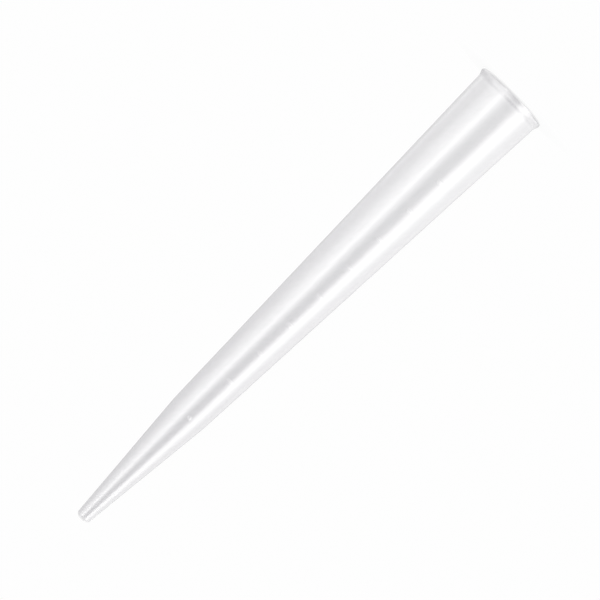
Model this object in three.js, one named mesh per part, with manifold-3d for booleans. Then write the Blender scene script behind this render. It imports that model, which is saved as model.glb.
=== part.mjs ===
// A 5 mL pipette tip: one moulded polypropylene piece, open at both ends.
// Millimetres, +Z up. The tip stands on its rim, nozzle up, its axis on Z and the rim's flat face at z = 0.
import * as THREE from 'three';
import { mergeVertices } from 'three/addons/utils/BufferGeometryUtils.js';
import Module from 'manifold-3d';

// Driving dimensions. The bore is the mould's core pin, and the outside follows it by the wall.
const overallLength = 120;
const noseLength = 30;              // the steeper cone, from the knee to the orifice
const mouthBoreDiameter = 14.1;     // the body bore's cone, taken to the rim's face
const kneeBoreDiameter = 7.12;
const orificeDiameter = 1.6;
const bodyWall = 0.7;
const orificeWall = 0.68;
const kneeBlendRadius = 30;         // softens the change of taper, outside and in the bore

// Socket for the pipette's cone: a short wider stretch inside the mouth, and its ramp down to the bore.
const socketDepth = 2.05;
const socketRelief = 0.18;
const socketRampHeight = 0.3;
const mouthEdgeRadius = 0.15;

// Lip round the rim: a low band, then a flare back to the body.
const lipOverhang = 0.32;
const lipBandHeight = 0.62;
const lipFlareHeight = 1.0;
const lipEdgeRadius = 0.5;
const lipShoulderRadius = 0.4;
const lipFlareRadius = 0.9;

// Orifice end: a bevel outside and a narrow flat ring round the hole.
const endBevelHeight = 0.6;
const endFlatWidth = 0.15;
const endEdgeRadius = 0.25;

// Graduation marks: one row of short raised dashes down the front, evenly spaced from rim to knee.
const firstMarkHeight = 22.7;
const markPitch = 8.14;
const markKneeClearance = 8;        // the plain stretch between the last mark and the knee, at least
const markBearing = 18;             // degrees from the front, -Y, towards -X, to the middle of a dash
const markLength = 1.8;
const markWidth = 0.65;
const markRise = 0.06;
const markRampWidth = 0.15;
const markSink = 0.03;              // how far the foot of its ramp dips below the surface

const turnSegments = 64;
const cornerSteps = 4;
const markSteps = 4;
const sideFill = 0.95;              // the most of an outline's side that the arcs at its ends may take

const kneeHeight = overallLength - noseLength;
const mouthBoreRadius = mouthBoreDiameter / 2;
const kneeBoreRadius = kneeBoreDiameter / 2;
const orificeRadius = orificeDiameter / 2;
const orificeOuterRadius = orificeRadius + orificeWall;

// Radius of the body's bore and of its outside at a height below the knee.
const bodyBoreRadius = (z) => THREE.MathUtils.lerp(mouthBoreRadius, kneeBoreRadius, z / kneeHeight);
const bodyOuterRadius = (z) => bodyBoreRadius(z) + bodyWall;

// Radius of the nose's outside at a height above the knee.
function noseOuterRadius(z) {
  const share = (z - kneeHeight) / noseLength;
  return THREE.MathUtils.lerp(kneeBoreRadius + bodyWall, orificeOuterRadius, share);
}

const corner = (radius, z, rounding = 0) => ({ point: new THREE.Vector2(radius, z), rounding });

// Half the angle between a corner's two sides.
function halfAngleAt(before, point, after) {
  const toBefore = before.clone().sub(point).normalize();
  const toAfter = after.clone().sub(point).normalize();
  return Math.acos(THREE.MathUtils.clamp(toBefore.dot(toAfter), -1, 1)) / 2;
}

// The points of one corner of an outline: itself if it is sharp, else an arc tangent to both its sides,
// which it touches at the given distance from the corner.
function cornerPoints(before, point, after, tangent) {
  if (tangent === 0) return [point];
  const toBefore = before.clone().sub(point).normalize();
  const toAfter = after.clone().sub(point).normalize();
  const halfAngle = halfAngleAt(before, point, after);
  const arcRadius = tangent * Math.tan(halfAngle);
  const toCentre = toBefore.clone().add(toAfter).setLength(arcRadius / Math.sin(halfAngle));
  const centre = point.clone().add(toCentre);
  const start = point.clone().addScaledVector(toBefore, tangent);
  const turn = Math.sign(toAfter.cross(toBefore)) * (Math.PI - 2 * halfAngle);
  const points = [];
  for (let step = 0; step <= cornerSteps; step += 1) {
    points.push(start.clone().rotateAround(centre, turn * step / cornerSteps));
  }
  return points;
}

// A closed outline through its corners, ending on its first point as a lathe profile needs.
// Two arcs that are too long for the side between them are both shortened, so that they can't meet.
function roundedOutline(corners) {
  const count = corners.length;
  const points = corners.map(({ point }) => point);
  const last = (index) => (index + count - 1) % count;
  const next = (index) => (index + 1) % count;
  const wanted = corners.map(({ point, rounding }, index) => (
    rounding / Math.tan(halfAngleAt(points[last(index)], point, points[next(index)]))
  ));
  const share = points.map((point, index) => {
    const room = sideFill * point.distanceTo(points[next(index)]);
    return Math.min(1, room / (wanted[index] + wanted[next(index)]));
  });
  const outline = points.flatMap((point, index) => {
    const tangent = wanted[index] * Math.min(share[last(index)], share[index]);
    return cornerPoints(points[last(index)], point, points[next(index)], tangent);
  });
  outline.push(outline[0].clone());
  return outline;
}

// The lip, from the rim's flat face out round the band and back to the body.
function lipCorners() {
  const lipRadius = bodyOuterRadius(0) + lipOverhang;
  const lipTop = lipBandHeight + lipFlareHeight;
  return [
    corner(lipRadius, 0, lipEdgeRadius),
    corner(lipRadius, lipBandHeight, lipShoulderRadius),
    corner(bodyOuterRadius(lipTop), lipTop, lipFlareRadius),
  ];
}

// The knee's outside and the nose's bevelled end, up to the hole.
function noseCorners() {
  const bevelFoot = overallLength - endBevelHeight;
  return [
    corner(kneeBoreRadius + bodyWall, kneeHeight, kneeBlendRadius),
    corner(noseOuterRadius(bevelFoot), bevelFoot, endEdgeRadius),
    corner(orificeRadius + endFlatWidth, overallLength, endEdgeRadius),
    corner(orificeRadius, overallLength),
  ];
}

// The bore from the knee back down to the mouth.
function boreCorners() {
  const rampTop = socketDepth + socketRampHeight;
  const socketRadius = bodyBoreRadius(socketDepth) + socketRelief;
  return [
    corner(kneeBoreRadius, kneeHeight, kneeBlendRadius),
    corner(bodyBoreRadius(rampTop), rampTop),
    corner(socketRadius, socketDepth),
    corner(bodyBoreRadius(0) + socketRelief, 0, mouthEdgeRadius),
  ];
}

// The section is revolved about Y, as a lathe does, and the axis is then turned up to Z.
function turnedGeometry() {
  const section = [...lipCorners(), ...noseCorners(), ...boreCorners()];
  const geometry = new THREE.LatheGeometry(roundedOutline(section), turnSegments);
  geometry.rotateX(Math.PI / 2);
  return geometry;
}

// One dash: a sector of a ring, ramped at its lower and upper side and rooted halfway into the wall.
function markGeometry(z) {
  const surfaceRadius = bodyOuterRadius(z);
  const crestRadius = surfaceRadius + markRise;
  const middle = -Math.PI / 2 - THREE.MathUtils.degToRad(markBearing);
  const halfTurn = markLength / 2 / surfaceRadius;
  const sector = new THREE.Shape();
  sector.absarc(0, 0, crestRadius, middle - halfTurn, middle + halfTurn, false);
  sector.absarc(0, 0, surfaceRadius - bodyWall / 2, middle + halfTurn, middle - halfTurn, true);
  const rampDepth = markRise + markSink;
  const geometry = new THREE.ExtrudeGeometry(sector, {
    depth: markWidth - 2 * markRampWidth,
    curveSegments: markSteps,
    bevelSegments: 1,
    bevelThickness: markRampWidth,
    bevelSize: rampDepth,
    bevelOffset: -rampDepth,
  });
  return geometry.translate(0, 0, z - markWidth / 2 + markRampWidth);
}

function markHeights() {
  const heights = [];
  for (let z = firstMarkHeight; z <= kneeHeight - markKneeClearance; z += markPitch) heights.push(z);
  return heights;
}

// A closed mesh as a solid for joining.
function solidOf(geometry) {
  geometry.deleteAttribute('normal');
  geometry.deleteAttribute('uv');
  const closed = mergeVertices(geometry);
  return new wasm.Manifold(new wasm.Mesh({
    numProp: 3,
    vertProperties: closed.getAttribute('position').array,
    triVerts: new Uint32Array(closed.getIndex().array),
  }));
}

function geometryOf(solid) {
  const { vertProperties, triVerts } = solid.getMesh();
  const geometry = new THREE.BufferGeometry();
  geometry.setAttribute('position', new THREE.BufferAttribute(vertProperties, 3));
  geometry.setIndex(new THREE.BufferAttribute(triVerts, 1));
  geometry.computeVertexNormals();
  return geometry;
}

const wasm = await Module();
wasm.setup();

const marks = markHeights().map((z) => solidOf(markGeometry(z)));
const tipSolid = marks.reduce((joined, mark) => joined.add(mark), solidOf(turnedGeometry()));

const naturalPolypropylene = new THREE.MeshStandardMaterial({
  color: 0xeef1f3,
  roughness: 0.28,
  metalness: 0,
  transparent: true,
  opacity: 0.4,
  side: THREE.DoubleSide,
});

const tip = new THREE.Mesh(geometryOf(tipSolid), naturalPolypropylene);
tip.name = 'pipette_tip';

const group = new THREE.Group();
group.add(tip);

export default group;
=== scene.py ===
import math

import bmesh
import bpy
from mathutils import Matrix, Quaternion, Vector


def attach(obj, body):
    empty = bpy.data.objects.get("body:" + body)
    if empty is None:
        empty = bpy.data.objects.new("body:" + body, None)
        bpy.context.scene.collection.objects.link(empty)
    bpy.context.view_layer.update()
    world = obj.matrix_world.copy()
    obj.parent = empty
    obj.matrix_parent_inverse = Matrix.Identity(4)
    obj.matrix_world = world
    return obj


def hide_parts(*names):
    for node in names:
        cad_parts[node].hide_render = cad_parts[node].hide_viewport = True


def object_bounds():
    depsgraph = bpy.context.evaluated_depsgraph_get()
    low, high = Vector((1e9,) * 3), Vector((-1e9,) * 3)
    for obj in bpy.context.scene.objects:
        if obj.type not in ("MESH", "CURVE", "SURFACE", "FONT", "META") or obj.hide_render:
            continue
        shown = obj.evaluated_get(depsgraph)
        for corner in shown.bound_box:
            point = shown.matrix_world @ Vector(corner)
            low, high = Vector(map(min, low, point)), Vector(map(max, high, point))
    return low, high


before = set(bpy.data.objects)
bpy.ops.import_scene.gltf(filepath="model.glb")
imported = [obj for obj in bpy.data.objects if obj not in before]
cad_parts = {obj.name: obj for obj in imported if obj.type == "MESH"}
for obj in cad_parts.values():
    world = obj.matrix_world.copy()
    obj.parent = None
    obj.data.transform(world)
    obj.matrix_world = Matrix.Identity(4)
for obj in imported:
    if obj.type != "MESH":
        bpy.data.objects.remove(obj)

cad_low, cad_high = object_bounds()

# ---------------------------------------------------------------- values
# Metres, unless a comment or a name says otherwise. The tip stands on its rim, with its axis on Z.
# A bearing is in degrees round the axis, from the front, -Y, where the camera is, towards +X.

TIP = "pipette_tip"
MM_PER_METRE = 1000
FRONT_ANGLE = 270.0              # the front's own angle, in degrees from +X

# the turned mesh
SAME_PLACE = 0.000001            # points closer than this are one point
TURNS = 256
EDGE_REACH = 0.00012             # how far from a corner of the outline its curve begins
EDGE_STEPS = 2
EDGE_SHARE = 0.45                # the most of a side that the curve at either of its ends may take
CLOSEST_ROWS = 0.00003           # a row is only added if it is further than this from the others
WALL_FILM = "wall_film"          # where the mesh stores the thickness of the wall behind each point, in mm, less on a mark for a painted highlight

# the row of graduation dashes, as the solid has it
MARK_COUNT = 8
FIRST_MARK = 0.0227
MARK_PITCH = 0.00814
MARK_BEARING = -18.0
MARK_LENGTH = 0.0018             # round the tip
MARK_WIDTH = 0.00065             # along the tip
MARK_RISE = 0.00006

# one more small round mark, a pip at the knee
PIP_HEIGHT = 0.0904
PIP_BEARING = -9.5
PIP_SIZE = 0.0006

# how every mark is made
MARK_ROWS = 8                    # rows of faces across a mark
MARK_MARGIN_ROWS = 2             # rows as narrow as these, above a mark and below it
MARK_SQUARENESS = 4              # the greater, the flatter its top and the steeper its sides
MARK_PAINTED_HIGHLIGHT = 0.5             # the share of the wall's haze that is gone at its top, which paints a highlight there

# natural polypropylene: a clear wall with a haze, darker towards the nozzle, and a little milk
HAZE_AT_RIM = 0.31               # the light's loss in a mm of wall, as an exponent
HAZE_AT_NOZZLE = 0.475
HAZE_TINT = (1.0, 1.02, 0.95)    # how strong the loss is in red, green and blue
MILK_COLOUR = (0.86, 0.86, 0.87)
MILK_SHARE = 0.05                # the share of the light that a mm of wall scatters
REFRACTION = 1.49
THINNEST_WALL = 0.001            # in mm: a face with less behind it is in the bore

# painted light and shade for the turns of the lip and socket, as lines of more and less haze: heights, and
# how many times the wall's haze is there
PAINTED_LIP_LINES = (
    (0.0003, 1.0), (0.0005, 2.3), (0.00105, 2.3), (0.00125, 1.85), (0.0015, 1.85),
    (0.00168, 2.3), (0.00195, 2.3), (0.0021, 0.3), (0.00235, 0.3), (0.0025, 1.0),
)
PAINTED_LIP_LINES_END = 0.003            # the height at which their ramp ends
PAINTED_LIP_LINES_MOST = 2.5             # how many times the wall's haze the ramp's white stands for
SOCKET_TOP = 0.0022
SOCKET_PAINTED_SHADE = 1.5                # how many times the wall's haze is in the socket's far wall, as painted shade

# gloss: the shares of light that are mirrored, and how rough it is
FACE_SHINE = 0.30                # of the outside, seen straight on
BORE_SHINE = 0.10
GRAZING_SHINE = 0.45             # what the outside gains at a grazing angle
GRAZING_POWER = 5.0
GLOSS_ROUGHNESS = 0.276
DULLED_ROUGHNESS = 0.30

# unevenness: flow lines along the meridians, patches of duller gloss, and the waviness of a moulded skin
FLOW_AROUND = 8.0                # waves in a radian round the axis
FLOW_ALONG = 30.0                # waves in a metre along it
FLOW_SPREAD = 0.2                # the share by which the haze is more or less
FLOW_DETAIL = 2.0
PATCHES_PER_METRE = 320.0
PATCH_DETAIL = 3.0
WAVES_PER_METRE = 110.0
WAVE_STRETCH = 3.0               # how much longer the waves are along the axis
WAVE_DETAIL = 2.0
WAVE_HEIGHT = 0.00003

# light, its levels as radiances: 1 is white
BACKGROUND_LEVEL = 0.99          # what the camera and a reflection see beyond the lamps
AMBIENT_LEVEL = 0.3
LIGHT_COLOUR = (1.0, 1.0, 0.98)
LIGHT_DISTANCE = 0.6
LIGHT_FOOT = -0.25
LOW_LIGHT_FOOT = -0.6
WING_FOOT = -0.03
SIDE_FOOT = -0.06
LIGHT_TOP = 0.85
WING_TOP = 0.4
GLINT_TOP = 0.04

# floor
FLOOR_SIZE = 3
FLOOR_GAP = 0.00002              # between the rim and the floor
FLOOR_COLOUR = (0.9, 0.9, 0.9)
SHADOW_REACH = 0.016             # how far from the axis the shadow has faded out
SHADOW_SHARE = 0.1               # how much of the floor's own shading shows through its white

# camera
CAMERA_LENS_MM = 200.0
SENSOR_MM = 36.0
VIEW_WIDTH = 0.119316            # how much the picture's width takes in at the tip
CAMERA_ROLL = 134.43             # in degrees: it lays the standing tip across the picture
CAMERA_CLIP = (0.01, 10)
AIM = Vector((0.000634, 0.0, 0.05849))


def add_object(name, data):
    """A new object in the scene."""
    made = bpy.data.objects.new(name, data)
    bpy.context.scene.collection.objects.link(made)
    return made


# ---------------------------------------------------------------- shape

def on_meridian(vertex):
    """Whether a point lies in the half plane through the axis and +X."""
    return vertex.co.x > 0 and abs(vertex.co.y) < SAME_PLACE


def section_of(node):
    """The closed outline of a turned solid, as (radius, height) points from the foot up the outside."""
    mesh = bmesh.new()
    mesh.from_mesh(node.data)
    bmesh.ops.remove_doubles(mesh, verts=mesh.verts, dist=SAME_PLACE)
    feet = [v for v in mesh.verts if on_meridian(v) and v.co.z < SAME_PLACE]
    # it starts at the outermost foot, where two ways are open, and the outer one goes up the outside
    here = max(feet, key=lambda v: v.co.x)
    points = []
    seen = set()
    while here is not None:
        points.append(Vector((here.co.x, here.co.z)))
        seen.add(here)
        ahead = [e.other_vert(here) for e in here.link_edges]
        ahead = [v for v in ahead if on_meridian(v) and v not in seen]
        here = max(ahead, key=lambda v: v.co.x) if ahead else None
    mesh.free()
    return points


def softened(points, reach, steps):
    """The outline with each corner turned by a short curve."""
    out = []
    for i, corner in enumerate(points):
        before = points[i - 1] - corner
        after = points[(i + 1) % len(points)] - corner
        start = corner + before.normalized() * min(reach, EDGE_SHARE * before.length)
        end = corner + after.normalized() * min(reach, EDGE_SHARE * after.length)
        for k in range(steps + 1):
            t = k / steps
            out.append(start * (1 - t) ** 2 + corner * 2 * t * (1 - t) + end * t * t)
    return out


def branches(points):
    """The outside, upwards, and the bore, downwards, of a closed outline that starts at its foot."""
    top = max(range(len(points)), key=lambda i: points[i].y)
    return points[:top + 1], points[top + 1:]


def radius_at(branch, height):
    """The radius of an open branch of the outline at a height, its points going upwards."""
    for a, b in zip(branch, branch[1:]):
        if a.y <= height <= b.y and b.y > a.y:
            return a.x + (b.x - a.x) * (height - a.y) / (b.y - a.y)
    return branch[-1].x if height > branch[-1].y else branch[0].x


def marks():
    """Each raised mark, as its height, its bearing, its length round the tip and its width along it."""
    heights = [FIRST_MARK + k * MARK_PITCH for k in range(MARK_COUNT)]
    dashes = [(height, MARK_BEARING, MARK_LENGTH, MARK_WIDTH) for height in heights]
    return dashes + [(PIP_HEIGHT, PIP_BEARING, PIP_SIZE, PIP_SIZE)]


def with_rows(outside, bore):
    """The outside with more points: across the marks, and where the bore behind it has its own."""
    heights = [p.y for p in bore]
    steps = range(-MARK_MARGIN_ROWS, MARK_ROWS + MARK_MARGIN_ROWS + 1)
    for height, _, _, width in marks():
        heights += [height + width * (k / MARK_ROWS - 0.5) for k in steps]
    rows = list(outside)
    for z in heights:
        if min(abs(z - p.y) for p in rows) > CLOSEST_ROWS:
            rows.append(Vector((radius_at(outside, z), z)))
    return sorted(rows, key=lambda p: p.y)


def mark_rise(angle, point):
    """How far a mark lifts a point of the outside, with the mark's rim rounded off."""
    for height, bearing, length, width in marks():
        along = (angle - math.radians(FRONT_ANGLE + bearing)) * point.x * 2 / length
        across = (point.y - height) * 2 / width
        if abs(along) < 1 and abs(across) < 1:
            inside = (1 - along ** MARK_SQUARENESS) * (1 - across ** MARK_SQUARENESS)
            return MARK_RISE * math.sqrt(inside)
    return 0.0


def uprightness(branch, i):
    """How much a branch of the outline faces sideways at a point: 1 on a wall, 0 on a flat end."""
    along = branch[min(i + 1, len(branch) - 1)] - branch[max(i - 1, 0)]
    return abs(along.y) / along.length


def walls_behind(outside, bore):
    """The wall's thickness in mm behind each point of the outside, less where that turns to a flat end."""
    upwards = list(reversed(bore))
    walls = []
    for i, point in enumerate(outside):
        wall = (point.x - radius_at(upwards, point.y)) * MM_PER_METRE
        walls.append(wall * uprightness(outside, i))
    return walls


def turned_faces(turns, count):
    """Faces between rings with count points each, closed round the axis and round the outline."""
    faces = []
    for k in range(turns):
        m = (k + 1) % turns
        for i in range(count):
            j = (i + 1) % count
            faces.append((k * count + i, m * count + i, m * count + j, k * count + j))
    return faces


def turned_piece(name, outside, bore, turns):
    """A closed mesh turned round the axis. Its outside stores the wall's thickness, and less on a mark as
    a painted highlight.
    """
    outline = outside + bore
    walls = walls_behind(outside, bore) + [0.0] * len(bore)
    vertices = []
    films = []
    for k in range(turns):
        angle = 2 * math.pi * k / turns
        rises = [mark_rise(angle, p) for p in outside] + [0.0] * len(bore)
        for point, wall, rise in zip(outline, walls, rises):
            radius = point.x + rise
            vertices.append((radius * math.cos(angle), radius * math.sin(angle), point.y))
            # painted highlight: a mark counts as a thinner wall, so it shows lighter
            films.append(wall * (1 - MARK_PAINTED_HIGHLIGHT * rise / MARK_RISE))
    faces = turned_faces(turns, len(outline))
    mesh = bpy.data.meshes.new(name)
    mesh.from_pydata(vertices, [], faces)
    mesh.polygons.foreach_set("use_smooth", [True] * len(faces))
    film = mesh.attributes.new(WALL_FILM, "FLOAT", "POINT")
    film.data.foreach_set("value", films)
    mesh.update()
    return add_object(name, mesh)


# ---------------------------------------------------------------- materials

class Nodes:
    """Short calls for building a node tree."""

    def __init__(self, tree):
        self.tree = tree
        tree.nodes.clear()

    def add(self, kind, **inputs):
        """A new node, with its inputs given by name."""
        node = self.tree.nodes.new(kind)
        for name, value in inputs.items():
            self.feed(node.inputs[name], value)
        return node

    def feed(self, socket, value):
        """Links a socket to another one, or sets it to a plain value."""
        if isinstance(value, bpy.types.NodeSocket):
            self.tree.links.new(value, socket)
        else:
            socket.default_value = value

    def math(self, operation, a, b=0.0):
        """The result of a sum on numbers."""
        node = self.tree.nodes.new("ShaderNodeMath")
        node.operation = operation
        self.feed(node.inputs[0], a)
        self.feed(node.inputs[1], b)
        return node.outputs[0]

    def vector(self, operation, a, b=(0, 0, 0)):
        """The result of a sum on vectors."""
        node = self.tree.nodes.new("ShaderNodeVectorMath")
        node.operation = operation
        self.feed(node.inputs[0], a)
        self.feed(node.inputs[1], b)
        return node.outputs[0]

    def mix(self, share, first, second):
        """Two shaders mixed, with this share for the second."""
        node = self.tree.nodes.new("ShaderNodeMixShader")
        self.feed(node.inputs[0], share)
        self.feed(node.inputs[1], first)
        self.feed(node.inputs[2], second)
        return node.outputs[0]


def wall_path(n, cosine, film):
    """How far light goes inside the wall, in mm: it is bent, and goes further at the sides."""
    sine_squared = n.math("SUBTRACT", 1.0, n.math("MULTIPLY", cosine, cosine))
    bent = n.math("MULTIPLY", sine_squared, 1 / REFRACTION ** 2)
    return n.math("DIVIDE", film, n.math("SQRT", n.math("SUBTRACT", 1.0, bent)))


def object_place(n):
    """The place on the object, in its own coordinates."""
    return n.add("ShaderNodeTexCoord").outputs["Object"]


def object_height(n):
    """The height above the rim."""
    place = object_place(n)
    return n.add("ShaderNodeSeparateXYZ", Vector=place).outputs["Z"]


def painted_lip_light_and_shade(n, height, front, cosine):
    """How many times the wall's haze there is: painted light and shade lines in the near wall, and painted
    shade on the socket in the far wall.
    """
    # painted light and shade: the lip's lines, as more and less haze in the near wall
    ramp = n.add("ShaderNodeValToRGB", Fac=n.math("DIVIDE", height, PAINTED_LIP_LINES_END))
    stops = ramp.color_ramp.elements
    while len(stops) < len(PAINTED_LIP_LINES):
        stops.new(1.0)
    for stop, (place, haze) in zip(stops, PAINTED_LIP_LINES):
        grey = haze / PAINTED_LIP_LINES_MOST
        stop.position = place / PAINTED_LIP_LINES_END
        stop.color = (grey, grey, grey, 1)
    lines = n.math("SUBTRACT", n.math("MULTIPLY", ramp.outputs["Color"], PAINTED_LIP_LINES_MOST), 1.0)
    near = n.math("MULTIPLY", n.math("ADD", 1.0, n.math("MULTIPLY", lines, cosine)), front)
    # painted shade: the socket's far wall is made darker
    painted_socket_shade = n.math("MULTIPLY", n.math("LESS_THAN", height, SOCKET_TOP), SOCKET_PAINTED_SHADE - 1)
    far = n.math("MULTIPLY", n.math("ADD", 1.0, painted_socket_shade), n.math("SUBTRACT", 1.0, front))
    return n.math("ADD", near, far)


def noise(n, across, along, detail):
    """Noise round 0.5, with so many waves in a metre across the axis and along it."""
    scaled = n.vector("MULTIPLY", object_place(n), (across, across, along))
    return n.add("ShaderNodeTexNoise", Vector=scaled, Scale=1.0, Detail=detail).outputs["Fac"]


def flow_lines(n):
    """Noise round 0.5, drawn out along the meridians as the melt flowed."""
    place = object_place(n)
    around = n.vector("NORMALIZE", n.vector("MULTIPLY", place, (1, 1, 0)))
    along = n.vector("MULTIPLY", place, (0, 0, FLOW_ALONG))
    drawn = n.vector("ADD", n.vector("MULTIPLY", around, (FLOW_AROUND, FLOW_AROUND, 0)), along)
    return n.add("ShaderNodeTexNoise", Vector=drawn, Scale=1.0, Detail=FLOW_DETAIL).outputs["Fac"]


def haze_per_mm(n, front, cosine):
    """The haze of a millimetre of wall, which grows from the rim to the nozzle, has flow lines, and
    carries the lip's painted lines of light and shade.
    """
    height = object_height(n)
    share = n.math("DIVIDE", height, cad_high.z)
    haze = n.math("ADD", HAZE_AT_RIM, n.math("MULTIPLY", share, HAZE_AT_NOZZLE - HAZE_AT_RIM))
    flow = n.math("SUBTRACT", flow_lines(n), 0.5)
    uneven = n.math("ADD", 1.0, n.math("MULTIPLY", flow, 2 * FLOW_SPREAD))
    return n.math("MULTIPLY", n.math("MULTIPLY", haze, uneven), painted_lip_light_and_shade(n, height, front, cosine))


def clear_wall(n, path, front, cosine):
    """What is seen through the wall, darkened by its haze."""
    depth = n.math("MULTIPLY", haze_per_mm(n, front, cosine), path)
    kept = [n.math("EXPONENT", n.math("MULTIPLY", depth, -tint)) for tint in HAZE_TINT]
    colour = n.add("ShaderNodeCombineXYZ", X=kept[0], Y=kept[1], Z=kept[2]).outputs[0]
    return n.add("ShaderNodeBsdfTransparent", Color=colour).outputs[0]


def milk(n):
    """The milky part: it scatters light equally back and through."""
    lit = n.add("ShaderNodeBsdfDiffuse", Color=(*MILK_COLOUR, 1)).outputs[0]
    through = n.add("ShaderNodeBsdfTranslucent", Color=(*MILK_COLOUR, 1)).outputs[0]
    return n.mix(0.5, lit, through)


def moulded_gloss(n):
    """The gloss of a moulded skin: a little duller in patches, and faintly wavy."""
    patches = noise(n, PATCHES_PER_METRE, PATCHES_PER_METRE, PATCH_DETAIL)
    dulled = n.math("MULTIPLY", patches, DULLED_ROUGHNESS - GLOSS_ROUGHNESS)
    roughness = n.math("ADD", dulled, GLOSS_ROUGHNESS)
    waves = noise(n, WAVES_PER_METRE, WAVES_PER_METRE / WAVE_STRETCH, WAVE_DETAIL)
    bump = n.add("ShaderNodeBump", Strength=1.0, Distance=WAVE_HEIGHT, Height=waves).outputs[0]
    return n.add("ShaderNodeBsdfGlossy", Roughness=roughness, Normal=bump).outputs[0]


def polypropylene():
    """Natural polypropylene: clear with a haze, and shiny on its outside and in the bore."""
    material = bpy.data.materials.new("natural_polypropylene")
    material.use_nodes = True
    n = Nodes(material.node_tree)
    # at this blend, facing is 1 less the cosine of the angle of view
    facing = n.add("ShaderNodeLayerWeight", Blend=0.5).outputs["Facing"]
    front = n.math("SUBTRACT", 1.0, n.add("ShaderNodeNewGeometry").outputs["Backfacing"])
    attribute = n.add("ShaderNodeAttribute")
    attribute.attribute_name = WALL_FILM
    film = attribute.outputs["Fac"]
    outside = n.math("GREATER_THAN", film, THINNEST_WALL)
    cosine = n.math("SUBTRACT", 1.0, facing)
    path = wall_path(n, cosine, film)
    milk_share = n.math("SUBTRACT", 1.0, n.math("POWER", 1 - MILK_SHARE, path))
    wall = n.mix(milk_share, clear_wall(n, path, front, cosine), milk(n))
    grazing = n.math("MULTIPLY", n.math("POWER", facing, GRAZING_POWER), GRAZING_SHINE)
    outer_shine = n.math("MULTIPLY", n.math("ADD", grazing, FACE_SHINE - BORE_SHINE), outside)
    shine = n.math("MULTIPLY", n.math("ADD", outer_shine, BORE_SHINE), front)
    out = n.add("ShaderNodeOutputMaterial")
    n.feed(out.inputs["Surface"], n.mix(shine, wall, moulded_gloss(n)))
    return material


def floor_material():
    """Matt for the light that it gives back, white to the eye, and not there for what the tip mirrors."""
    material = bpy.data.materials.new("floor")
    material.use_nodes = True
    n = Nodes(material.node_tree)
    path = n.add("ShaderNodeLightPath").outputs
    matt = n.add("ShaderNodeBsdfDiffuse", Color=(*FLOOR_COLOUR, 1)).outputs[0]
    white = n.add("ShaderNodeEmission", Color=(1, 1, 1, 1), Strength=BACKGROUND_LEVEL).outputs[0]
    nothing = n.add("ShaderNodeBsdfTransparent").outputs[0]
    # a faint shadow round the rim, which fades out with the distance from the axis
    place = n.add("ShaderNodeNewGeometry").outputs["Position"]
    distance = n.add("ShaderNodeVectorMath")
    distance.operation = "LENGTH"
    n.feed(distance.inputs[0], place)
    nearness = n.math("SUBTRACT", 1.0, n.math("DIVIDE", distance.outputs["Value"], SHADOW_REACH))
    shadowed = n.math("MULTIPLY", n.math("MAXIMUM", nearness, 0.0), SHADOW_SHARE)
    seen = n.mix(shadowed, white, matt)
    surface = n.mix(path["Is Camera Ray"], matt, seen)
    mirrored = n.math("MAXIMUM", path["Is Glossy Ray"], path["Is Transmission Ray"])
    mirrored = n.math("MAXIMUM", mirrored, path["Is Shadow Ray"])
    out = n.add("ShaderNodeOutputMaterial")
    n.feed(out.inputs["Surface"], n.mix(mirrored, surface, nothing))
    return material


# ---------------------------------------------------------------- stage

def make_floor(height):
    """A plain pale floor at a height."""
    bpy.ops.mesh.primitive_plane_add(size=FLOOR_SIZE, location=(0, 0, height))
    floor = bpy.context.object
    floor.name = "floor"
    floor.data.materials.append(floor_material())


def make_world():
    """White where the camera, a reflection or a clear piece looks, and plain grey light elsewhere."""
    world = bpy.data.worlds.new("studio")
    bpy.context.scene.world = world
    world.use_nodes = True
    n = Nodes(world.node_tree)
    path = n.add("ShaderNodeLightPath").outputs
    seen = n.math("MAXIMUM", path["Is Camera Ray"], path["Is Glossy Ray"])
    seen = n.math("MAXIMUM", seen, path["Is Transmission Ray"])
    light = n.add("ShaderNodeBackground", Color=(1, 1, 1, 1), Strength=AMBIENT_LEVEL).outputs[0]
    white = n.add("ShaderNodeBackground", Color=(1, 1, 1, 1), Strength=BACKGROUND_LEVEL).outputs[0]
    out = n.add("ShaderNodeOutputWorld")
    n.feed(out.inputs["Surface"], n.mix(seen, light, white))


def softbox(name, start, end, foot, top, radiance):
    """An upright soft light, between two heights and, as seen from the axis, between two bearings."""
    turn = math.radians((start + end) / 2)
    width = 2 * LIGHT_DISTANCE * math.tan(math.radians((end - start) / 2))
    height = top - foot
    lamp = bpy.data.lights.new(name, "AREA")
    lamp.shape = "RECTANGLE"
    lamp.color = LIGHT_COLOUR
    lamp.size = width
    lamp.size_y = height
    lamp.energy = radiance * math.pi * width * height
    holder = add_object(name, lamp)
    outwards = Vector((math.sin(turn), -math.cos(turn), 0))
    holder.location = outwards * LIGHT_DISTANCE + Vector((0, 0, (top + foot) / 2))
    holder.rotation_euler = (-outwards).to_track_quat("-Z", "Y").to_euler()


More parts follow.
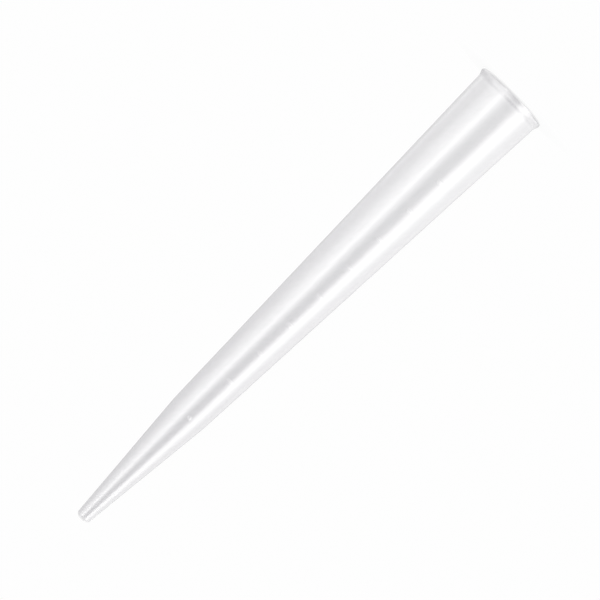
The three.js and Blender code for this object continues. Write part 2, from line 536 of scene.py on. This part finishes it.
def make_lights():
    """Softboxes side by side round the tip, which it mirrors as bands along its length."""
    # on the -X side: the key light, less bright at its edges, and weaker light behind it
    softbox("key", -72, -48, foot=LOW_LIGHT_FOOT, top=LIGHT_TOP, radiance=1.9)
    softbox("key_front", -48, -36, foot=LOW_LIGHT_FOOT, top=LIGHT_TOP, radiance=1.4)
    softbox("key_edge", -85, -72, foot=LOW_LIGHT_FOOT, top=LIGHT_TOP, radiance=1.4)
    softbox("key_side", -100, -85, foot=SIDE_FOOT, top=LIGHT_TOP, radiance=0.98)
    softbox("key_flank", -145, -100, foot=SIDE_FOOT, top=LIGHT_TOP, radiance=1.0)
    softbox("key_back", -170, -145, foot=LIGHT_FOOT, top=LIGHT_TOP, radiance=0.25)
    # on the +X side: a weak fill, a bright strip, and wings that fall off to the back
    softbox("fill", 0, 10, foot=LIGHT_FOOT, top=LIGHT_TOP, radiance=0.5)
    softbox("fill_side", 10, 21.5, foot=LIGHT_FOOT, top=WING_TOP, radiance=1.0)
    softbox("strip", 21.5, 30.5, foot=LIGHT_FOOT, top=WING_TOP, radiance=2.15)
    softbox("strip_side", 30.5, 40, foot=WING_FOOT, top=WING_TOP, radiance=1.32)
    softbox("wing", 40, 60, foot=WING_FOOT, top=WING_TOP, radiance=1.02)
    softbox("wing_side", 60, 85, foot=WING_FOOT, top=WING_TOP, radiance=0.7)
    softbox("wing_back", 85, 145, foot=LIGHT_FOOT, top=LIGHT_TOP, radiance=0.42)
    # above these, and behind, a narrow low light for the thin line near the mouth
    softbox("upper", 10, 85, foot=WING_TOP, top=LIGHT_TOP, radiance=0.45)
    softbox("glint", 123.5, 127.5, foot=LIGHT_FOOT, top=GLINT_TOP, radiance=1.3)


def make_camera():
    """A long lens level with the tip's middle, rolled so that the tip lies across the picture."""
    distance = VIEW_WIDTH * CAMERA_LENS_MM / SENSOR_MM
    back = Vector((0, -1, 0))
    camera = bpy.data.cameras.new("camera")
    camera.lens = CAMERA_LENS_MM
    camera.sensor_width = SENSOR_MM
    camera.clip_start, camera.clip_end = CAMERA_CLIP
    holder = add_object("camera", camera)
    holder.location = AIM + back * distance
    holder.rotation_mode = "QUATERNION"
    level = (-back).to_track_quat("-Z", "Y")
    holder.rotation_quaternion = Quaternion(back, -math.radians(CAMERA_ROLL)) @ level
    bpy.context.scene.camera = holder


# ---------------------------------------------------------------- making

outside, bore = branches(softened(section_of(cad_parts[TIP]), EDGE_REACH, EDGE_STEPS))
tip = turned_piece("moulded_tip", with_rows(outside, bore), bore, TURNS)
tip.data.materials.append(polypropylene())
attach(tip, "root")
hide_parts(TIP)

make_floor(cad_low.z - FLOOR_GAP)
make_world()
make_lights()
make_camera()
bpy.context.scene.view_settings.view_transform = "Standard"
